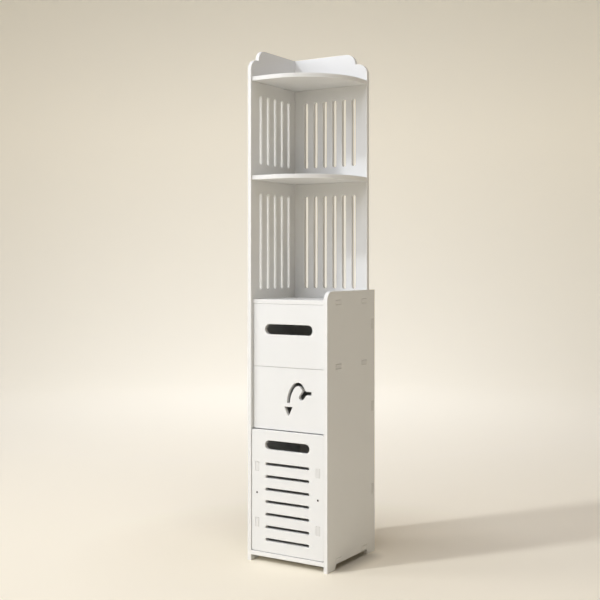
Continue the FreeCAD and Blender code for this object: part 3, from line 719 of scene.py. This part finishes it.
# Countersunk screw with a cross recess and a thread. At (u, v) on the head's face the recess sinks where
# the smaller of |u| and |v| is within the wing and the larger within the reach. On the shank the radius
# falls from the crest to the root with |2 * frac(d / pitch - t / full turn) - 1|, and the tip tapers to a
# point.
def screwSurface(axis, form):
    head = axis["radius"]
    shank = head * form["shankShare"]
    face = np.linspace(0.0, head, form["faceSteps"])
    cone = np.linspace(head, shank, form["coneSteps"])[1:]
    rest = np.arange(head - shank, axis["length"], form["threadPitch"] / form["threadSteps"])[1:]
    taper = np.clip((axis["length"] - rest) / form["tip"], 0.0, 1.0)
    turn = np.linspace(0.0, 1.0, form["columns"], endpoint=False)
    spokes = np.abs(np.stack([np.cos(2 * np.pi * turn), np.sin(2 * np.pi * turn)]))
    wide = spokes * face[:, None, None] / head
    narrow = smoothStep((form["recessWing"] - wide.min(axis=1)) / form["recessSlope"])
    inside = smoothStep((form["recessReach"] - wide.max(axis=1)) / form["recessSlope"])
    sunk = form["recessDepth"] * head * narrow * inside
    tooth = np.abs(2 * np.mod(rest[:, None] / form["threadPitch"] - turn, 1.0) - 1)
    thread = shank * taper[:, None] * (1 - (1 - form["threadRoot"]) * tooth)
    whole = np.ones(form["columns"])
    end = axis["length"] * whole[None]
    depth = np.concatenate([sunk, np.outer(head - cone, whole), np.outer(rest, whole), end])
    radius = np.concatenate([np.outer(face, whole), np.outer(cone, whole), thread, end * 0])
    return depth, radius


rodForm = {"steps": 9, "sharpAngle": 35.0}
pinForm = {**rodForm, "columns": 48, "chamfer": 0.0004, "flutes": 0, "fluteShare": 0.0}
dowelForm = {**rodForm, "columns": 96, "chamfer": 0.0008, "flutes": 16, "fluteShare": 0.05}


# Rod with chamfered ends; the flutes take a share of its radius, which comes and goes with cos(flutes * t)
def rodSurface(axis, form):
    chamfer, length, full = form["chamfer"], axis["length"], axis["radius"]
    middle = np.linspace(chamfer, length - chamfer, form["steps"])
    depth = np.concatenate([[0.0, 0.0], middle, [length, length]])
    radius = np.concatenate([[0.0, full - chamfer], np.full(len(middle), full), [full - chamfer, 0.0]])
    turn = np.linspace(0.0, 2 * np.pi, form["columns"], endpoint=False)
    flute = 1 - form["fluteShare"] * (0.5 - 0.5 * np.cos(form["flutes"] * turn))
    return np.outer(depth, np.ones(form["columns"])), np.outer(radius, flute)


turnedFinish = {
    "lineShare": 0.4,  # of the way to the worn colour, on the brightest line
    "bumpStrength": 0.12,
    "bumpDepth": 0.00005,
    "cloudScale": 300.0,
    "cloudFade": 0.12,
    "glossSwing": 0.16,
}
blackFinish = {
    **turnedFinish,
    "steel": (0.075, 0.075, 0.078),
    "worn": (0.20, 0.20, 0.20),
    "rough": 0.46,
    "pitch": 0.00008,
}
zincFinish = {
    **turnedFinish,
    "steel": (0.62, 0.63, 0.64),
    "worn": (0.70, 0.70, 0.70),
    "rough": 0.34,
    "pitch": 0.00012,
}
beechFinish = {
    "pale": (0.72, 0.56, 0.38),
    "dark": (0.56, 0.40, 0.25),
    "rough": 0.68,
    "grainScale": 900.0,
    "grainStretch": (1.0, 0.06, 1.0),
    "bumpStrength": 0.3,
    "bumpDepth": 0.0001,
    "cloudScale": 120.0,
    "cloudFade": 0.10,
    "glossSwing": 0.10,
}


# Turned steel: rings from the lathe, with cloudy gloss
def steelLook(name, finish):
    material, tree, shader = newMaterial(name)
    place = objectPlace(tree)
    lines = placeGroup(tree, turningLines, Along=readAttribute(tree, "alongAxis"), Pitch=finish["pitch"])
    clouds = addClouds(tree, finish, place, finish["rough"])
    bright = mathNode(tree, "MULTIPLY", lines["Line"], finish["lineShare"])
    steel = mixColours(tree, bright, (*finish["steel"], 1.0), (*finish["worn"], 1.0))
    wire(tree, shader, {
        "Base Color": mixColours(tree, 1.0, steel, clouds["Shade"], "MULTIPLY"),
        "Metallic": 1.0,
        "Roughness": clouds["Roughness"],
        "Normal": bumpNode(tree, finish, lines["Height"]),
    })
    return material


# Beech: fibres that run along the dowel
def beechLook(finish):
    material, tree, shader = newMaterial("rawBeech")
    place = objectPlace(tree)
    fibrePlace = addNode(tree, "Mapping", Vector=place, Scale=finish["grainStretch"]).outputs[0]
    fibres = noiseNode(tree, fibrePlace, finish["grainScale"], detail=4.0)
    clouds = addClouds(tree, finish, place, finish["rough"])
    light = spread(tree, fibres, *narrowSpan)
    wood = mixColours(tree, light, (*finish["dark"], 1.0), (*finish["pale"], 1.0))
    wire(tree, shader, {
        "Base Color": mixColours(tree, 1.0, wood, clouds["Shade"], "MULTIPLY"),
        "Roughness": clouds["Roughness"],
        "Normal": bumpNode(tree, finish, fibres),
    })
    return material


for slotName, surface, form, material in (
    ("black_steel", screwSurface, screwForm, steelLook("blackSteel", blackFinish)),
    ("zinc_steel", rodSurface, pinForm, steelLook("zincSteel", zincFinish)),
    ("dowel_wood", rodSurface, dowelForm, beechLook(beechFinish)),
):
    for nodeName in nodesOf(slotName):
        dress(turnedPiece(nodeName, surface, form), nodeName, material)
print("screws, pins and dowels made")
